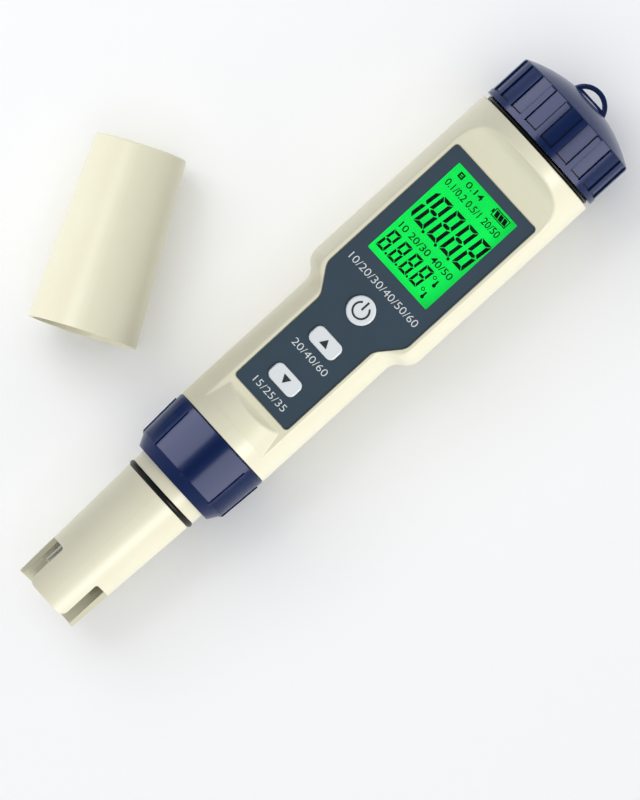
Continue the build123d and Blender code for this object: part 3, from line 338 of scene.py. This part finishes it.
def make_materials():
    """One material for each finish on the tester."""
    return {
        "cream_plastic": material(
            "cream_plastic", srgb(240, 236, 211), 0.36, other=srgb(235, 230, 203),
            blotch=60.0, share=0.5, grain=3800.0, bump=0.05, Coat_Weight=0.15,
            Coat_Roughness=0.25,
        ),
        "navy_plastic": material(
            "navy_plastic", srgb(0, 38, 96), 0.2, other=srgb(0, 33, 88), blotch=80.0,
            share=0.5, grain=4200.0, bump=0.04, rough_spread=0.03, Specular_IOR_Level=0.2,
        ),
        # Very dark navy for the painted shade lines at the edges of the recessed grip pads
        "pad_shade_line": material(
            "pad_shade_line", srgb(0, 10, 34), 0.5, other=srgb(0, 7, 26), blotch=300.0,
            bump=0.0, Specular_IOR_Level=0.15,
        ),
        "slate_film": material(
            "slate_film", srgb(58, 76, 90), 0.45, other=srgb(54, 71, 84), blotch=120.0,
            grain=7000.0, bump=0.03, Specular_IOR_Level=0.3,
        ),
        "clear_window": material(
            "clear_window", (1, 1, 1, 1), 0.03, other=(0.97, 1, 0.98, 1), rough_spread=0.01,
            bump=0.002, Transmission_Weight=1.0, IOR=1.2,
        ),
        "key_plastic": material(
            "key_plastic", srgb(238, 243, 246), 0.32, other=srgb(233, 239, 243),
            blotch=200.0, grain=6000.0, bump=0.03, Coat_Weight=0.2,
        ),
        "black_rubber": material(
            "black_rubber", srgb(7, 7, 7), 0.3, other=srgb(12, 12, 11), blotch=300.0,
            grain=9000.0, bump=0.08, Specular_IOR_Level=0.25,
        ),
        "grey_rubber": material(
            "grey_rubber", srgb(140, 143, 148), 0.6, grain=6000.0, bump=0.08,
        ),
        "board_laminate": material(
            "board_laminate", srgb(20, 105, 58), 0.3, other=srgb(12, 84, 44), blotch=700.0,
            share=0.6, grain=5000.0, bump=0.05, Coat_Weight=0.3,
        ),
        "chip_plastic": material(
            "chip_plastic", srgb(30, 30, 31), 0.5, grain=9000.0, bump=0.1,
        ),
        "white_plastic": material(
            "white_plastic", srgb(228, 228, 224), 0.4, other=srgb(220, 220, 215),
            grain=5000.0, bump=0.05,
        ),
        "bright_steel": material(
            "bright_steel", srgb(214, 212, 206), 0.2, other=srgb(190, 188, 182),
            blotch=500.0, grain=8000.0, bump=0.05, Metallic=1.0,
        ),
        "contact_gold": material(
            "contact_gold", srgb(226, 184, 92), 0.2, blotch=500.0, grain=8000.0,
            bump=0.05, Metallic=1.0,
        ),
        "display_green": material(
            "display_green", srgb(0, 220, 80), 0.35, other=srgb(0, 188, 66), blotch=38.0,
            share=0.8, grain=9000.0, bump=0.0, Specular_IOR_Level=0.1,
        ),
        "display_glass": material(
            "display_glass", (0.9, 1, 0.94, 1), 0.04, rough_spread=0.02, bump=0.0,
            Transmission_Weight=1.0, IOR=1.5,
        ),
        "electrode_glass": material(
            "electrode_glass", (0.97, 1, 1, 1), 0.02, rough_spread=0.01, blotch=400.0,
            bump=0.01, Transmission_Weight=1.0, IOR=1.47,
        ),
        "potting_resin": material(
            "potting_resin", srgb(98, 100, 84), 0.5, other=srgb(82, 84, 70),
            blotch=400.0, grain=3000.0, bump=0.2,
        ),
        "sponge": material(
            "sponge", srgb(228, 216, 160), 0.9, other=srgb(190, 172, 112), blotch=1200.0,
            share=0.8, grain=2500.0, bump=0.9,
        ),
        "segment_ink": material(
            "segment_ink", srgb(1, 10, 5), 0.4, other=srgb(2, 14, 7), blotch=900.0,
            grain=9000.0, bump=0.0, Specular_IOR_Level=0.1,
        ),
        "white_ink": material(
            "white_ink", srgb(226, 231, 233), 0.5, other=srgb(214, 220, 223), blotch=900.0,
            grain=9000.0, bump=0.03,
        ),
        "dark_ink": material(
            "dark_ink", srgb(40, 48, 54), 0.45, other=srgb(32, 40, 46), blotch=900.0,
            grain=9000.0, bump=0.03,
        ),
    }


MATERIALS = make_materials()


def light_up(name, strength):
    """Make a material glow with the colours that it varies between."""
    tree = MATERIALS[name].node_tree
    shader = tree.nodes["Principled BSDF"]
    glow = shader.inputs["Base Color"].links[0].from_socket
    tree.links.new(glow, shader.inputs["Emission Color"])
    shader.inputs["Emission Strength"].default_value = strength


light_up("display_green", 0.75)


def dress_frame():
    """Give every CAD node the material of its slot in the record."""
    for part in frame["record"]["subparts"]:
        piece = frame["nodes"][part["node"]]
        piece.data.materials.clear()
        piece.data.materials.append(MATERIALS[part["material_slot"]])


dress_frame()


def add_piece(name, mesh, body, material_name):
    """Add a mesh as a piece that rides on a body."""
    mesh.materials.append(MATERIALS[material_name])
    piece = bpy.data.objects.new(name, mesh)
    bpy.context.collection.objects.link(piece)
    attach(piece, body)
    return piece


def prisms(name, outlines, low, high):
    """Mesh of upright prisms, one for each closed outline of (x, y) points."""
    made = bmesh.new()
    for outline in outlines:
        lower = [made.verts.new((x, y, low)) for x, y in outline]
        upper = [made.verts.new((x, y, high)) for x, y in outline]
        count = len(outline)
        made.faces.new(upper)
        made.faces.new(lower[::-1])
        for index in range(count):
            after = (index + 1) % count
            made.faces.new((lower[index], lower[after], upper[after], upper[index]))
    bmesh.ops.recalc_face_normals(made, faces=made.faces)
    mesh = bpy.data.meshes.new(name)
    made.to_mesh(mesh)
    made.free()
    return mesh


# Marks are drawn as seen when reading the label: u to the right, v up, in millimetres from
# the middle line and from the probe tip.
def placed(outline):
    """Scene points of an outline given as (u, v)."""
    return [(TIP_X + v * MM, -u * MM) for u, v in outline]


def shifted(outline, u, v, lean=0.0):
    """Outline moved to (u, v), leaning to the right as it rises."""
    return [(u + x + lean * y, v + y) for x, y in outline]


def disc(radius, count=28):
    """Circle about the origin."""
    turns = [2 * math.pi * index / count for index in range(count)]
    return [(radius * math.cos(turn), radius * math.sin(turn)) for turn in turns]


def arc_band(radius, width, start, end, count=30):
    """Band along an arc about the origin, with angles in degrees."""
    def side(distance):
        return [(distance * math.cos(turn), distance * math.sin(turn)) for turn in turns]

    turns = [math.radians(start + (end - start) * index / count) for index in range(count + 1)]
    return side(radius + width / 2) + side(radius - width / 2)[::-1]


def block(width, height):
    """Rectangle with its lower left corner at the origin."""
    return [(0, 0), (width, 0), (width, height), (0, height)]


def digit(width, height, stroke, segments="abcdefg"):
    """Seven-segment digit with its lower left corner at the origin."""
    gap = stroke * SEGMENT_GAP
    half = height / 2
    point = stroke / 2

    def flat(y, lower_cut, upper_cut):
        return [
            (gap + lower_cut, y), (width - gap - lower_cut, y),
            (width - gap - upper_cut, y + stroke), (gap + upper_cut, y + stroke),
        ]

    def upright(outer, inner, low, high, low_cut, high_cut):
        return [
            (outer, low + gap), (inner, low + gap + low_cut),
            (inner, high - gap - high_cut), (outer, high - gap),
        ]

    shapes = {
        "a": flat(height - stroke, stroke, 0),
        "d": flat(0, 0, stroke),
        "g": [
            (gap + point, half), (gap + stroke, half - point),
            (width - gap - stroke, half - point), (width - gap - point, half),
            (width - gap - stroke, half + point), (gap + stroke, half + point),
        ],
        "f": upright(0, stroke, half, height, point, stroke),
        "e": upright(0, stroke, 0, half, stroke, point),
        "b": upright(width, width - stroke, half, height, point, stroke),
        "c": upright(width, width - stroke, 0, half, stroke, point),
    }
    return [shapes[segment] for segment in segments]


def marks(name, outlines, surface, body, material_name):
    """Thin printed marks on a surface at a height in the scene."""
    mesh = prisms(name, [placed(outline) for outline in outlines], surface, surface + INK)
    return add_piece(name, mesh, body, material_name)


def lettering(name, text, u, v, width, height, surface, weight, material_name, slot):
    """Plain numbers on the barrel, centred at (u, v) and fitted to a width and a height."""
    curve = bpy.data.curves.new(name, "FONT")
    curve.body = text
    curve.size = 1.0
    curve.extrude = INK / 2
    curve.offset = weight
    curve.resolution_u = 4
    source = bpy.data.objects.new(name + "_source", curve)
    mesh = bpy.data.meshes.new_from_object(source)
    bpy.data.objects.remove(source)
    xs = [vertex.co.x for vertex in mesh.vertices]
    ys = [vertex.co.y for vertex in mesh.vertices]
    middle_x, across = (max(xs) + min(xs)) / 2, max(xs) - min(xs)
    middle_y, tall = (max(ys) + min(ys)) / 2, max(ys) - min(ys)
    for vertex in mesh.vertices:
        x = (vertex.co.x - middle_x) / across * width * MM
        y = (vertex.co.y - middle_y) / tall * height * MM
        vertex.co = (TIP_X + v * MM + y, -u * MM - x, surface + INK / 2 + vertex.co.z)
    mesh.update()
    return add_piece(name, mesh, METER, material_name)


def make_display():
    """Segments of the display and its rows of numbers, drawn on its polariser."""
    surface = DISPLAY_TOP + CLEAR
    dark = []
    for left in BIG_LEFTS:
        dark += [shifted(shape, left, BIG_FOOT, LEAN) for shape in digit(**BIG_DIGIT)]
    one = digit(**BIG_DIGIT, segments="bc")
    dark += [shifted(shape, BIG_ONE_LEFT, BIG_FOOT, LEAN) for shape in one]
    for left in SMALL_LEFTS:
        dark += [shifted(shape, left, SMALL_FOOT, LEAN) for shape in digit(**SMALL_DIGIT)]
    for u in BIG_POINTS:
        dark.append(shifted(disc(BIG_POINT_RADIUS, 16), u, BIG_FOOT - POINT_DROP))
    for u in SMALL_POINTS:
        dark.append(shifted(disc(SMALL_POINT_RADIUS, 16), u, SMALL_FOOT + POINT_LIFT))
    dark += degree_marks() + battery_mark() + box_mark()
    marks("display_segments", dark, surface, METER, "segment_ink")
    for row in DISPLAY_ROWS:
        lettering(*row, surface, DISPLAY_WEIGHT, "segment_ink", "display_green")


def degree_marks():
    """Two small thermometers with degree rings, beside the small digits."""
    ring_radius, ring_line, ring_lift = 0.42, 0.2, 1.9
    stem_width, stem_height, stem_aside = 0.5, 1.6, 1.0
    bulb_radius, bulb_lift = 0.5, 0.4
    shapes = []
    for u, v in ((6.4, 123.8), (6.4, 119.8)):
        shapes.append(shifted(arc_band(ring_radius, ring_line, 0, 360), u, v + ring_lift))
        shapes.append(shifted(block(stem_width, stem_height), u + stem_aside, v + bulb_lift))
        bulb_u = u + stem_aside + stem_width / 2
        shapes.append(shifted(disc(bulb_radius, 14), bulb_u, v + bulb_lift))
    return shapes


def frame_lines(left, low, width, height, line):
    """Four lines of a rectangle."""
    return [
        shifted(block(width, line), left, low),
        shifted(block(width, line), left, low + height - line),
        shifted(block(line, height), left, low),
        shifted(block(line, height), left + width - line, low),
    ]


def battery_mark():
    """Battery outline with slanted bars."""
    left, low = 4.0, 146.6
    bar_left, bar_foot, bar_step = 0.85, 0.4, 1.35
    bar = [(0, 0), (1.15, 0), (0.75, 1.6), (-0.4, 1.6)]
    shapes = frame_lines(left, low, 5.0, 2.4, 0.24)
    shapes.append(shifted(block(0.45, 1.0), left - 0.5, low + 0.7))
    for index in range(3):
        shapes.append(shifted(bar, left + bar_left + bar_step * index, low + bar_foot))
    return shapes


def box_mark():
    """Small framed bar at the upper left."""
    left, low, size, line = -8.7, 146.95, 1.6, 0.42
    bar = line * 0.6
    middle = low + (size - bar) / 2
    return [*frame_lines(left, low, size, size, line), shifted(block(size, bar), left, middle)]


make_display()


def make_label_print():
    """White numbers on the label, in the places of its printed rows."""
    for row in LABEL_ROWS:
        lettering(*row, LABEL_TOP + CLEAR, LABEL_WEIGHT, "white_ink", "slate_film")


make_label_print()


def make_key_marks():
    """Power ring and bar, and the two arrowheads, each riding on its key."""
    bar_width, bar_height = POWER_BAR
    power = [
        arc_band(**POWER_RING),
        shifted(block(bar_width, bar_height), -bar_width / 2, POWER_BAR_FOOT),
    ]
    up = [(-ARROW_HALF, -ARROW_FOOT), (ARROW_HALF, -ARROW_FOOT), (0, ARROW_TIP)]
    down = [(-u, -v) for u, v in up]
    for key, shapes in (("power", power), ("up", [up]), ("down", [down])):
        low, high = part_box(f"{key}_key")
        middle = ((low.x + high.x) / 2 - TIP_X) / MM
        outlines = [shifted(shape, 0, middle) for shape in shapes]
        surface = high.z + CLEAR
        marks(f"{key}_mark", outlines, surface, f"{key}_button", "dark_ink")


make_key_marks()


def make_thread(name, start, end, radius, height):
    """Helical ridge round the barrel's axis between two stations, with faded ends."""
    steps = int((end - start) / THREAD_PITCH * THREAD_STEPS)
    made = bmesh.new()
    rows = []
    for step in range(steps + 1):
        turn = 2 * math.pi * step / THREAD_STEPS
        fade = min(1.0, step / THREAD_FADE, (steps - step) / THREAD_FADE)
        station = start + THREAD_PITCH * step / THREAD_STEPS
        rise = height * max(fade, THREAD_LEAST)
        profile = (
            (-THREAD_FOOT, THREAD_ROOT), (-THREAD_CREST, rise),
            (THREAD_CREST, rise), (THREAD_FOOT, THREAD_ROOT),
        )
        rows.append([
            made.verts.new((
                TIP_X + (station + along) * MM,
                (radius + out) * MM * math.sin(turn),
                AXIS_Z + (radius + out) * MM * math.cos(turn),
            ))
            for along, out in profile
        ])
    for one, two in zip(rows, rows[1:]):
        for index in range(len(profile)):
            after = (index + 1) % len(profile)
            made.faces.new((one[index], one[after], two[after], two[index]))
    made.faces.new(rows[0])
    made.faces.new(rows[-1][::-1])
    bmesh.ops.recalc_face_normals(made, faces=made.faces)
    mesh = bpy.data.meshes.new(name)
    made.to_mesh(mesh)
    made.free()
    add_piece(name, mesh, METER, "cream_plastic")


make_thread("collar_thread", start=51.2, end=58.8, radius=13.2, height=0.35)
make_thread("cap_thread", start=168.6, end=175.8, radius=16.6, height=0.55)


def make_pad_shade_lines():
    """Painted shade: thin dark lines along the sides and the lower ends of the grip pads on the
    battery cap.
    """
    start = CAP_START + PAD_LEAD
    made = bmesh.new()

    def sheet(turn_low, turn_high, length, steps):
        """Strip of the round surface between two angles, from the start of the pads."""
        rows = []
        for step in range(steps + 1):
            turn = math.radians(turn_low + (turn_high - turn_low) * step / steps)
            y, z = PAD_RADIUS * MM * math.sin(turn), AXIS_Z + PAD_RADIUS * MM * math.cos(turn)
            ends = (start, start + length)
            rows.append([made.verts.new((TIP_X + station * MM, y, z)) for station in ends])
        for one, two in zip(rows, rows[1:]):
            made.faces.new((one[0], one[1], two[1], two[0]))

    # Painted shade: a dark strip at both sides of each pad and one at its lower end, where the
    # recessed edges fall in shade
    for index in range(PAD_COUNT):
        middle = 360 / PAD_COUNT * index
        for side in (-1, 1):
            edge = middle + side * PAD_HALF_TURN
            sheet(edge - PAD_SHADE_LINE_TURN / 2, edge + PAD_SHADE_LINE_TURN / 2, PAD_LENGTH, 1)
        sheet(middle - PAD_HALF_TURN, middle + PAD_HALF_TURN, PAD_SHADE_LINE, 4)
    mesh = bpy.data.meshes.new("cap_pad_shade_lines")
    made.to_mesh(mesh)
    made.free()
    # The painted shade lines ride on the screw cap
    add_piece("cap_pad_shade_lines", mesh, "screw_cap", "pad_shade_line")


make_pad_shade_lines()


FLOOR.data.materials.append(material("floor", srgb(252, 252, 253), 0.8, share=0.0, bump=0.0))

bpy.context.scene.view_settings.view_transform = "Standard"
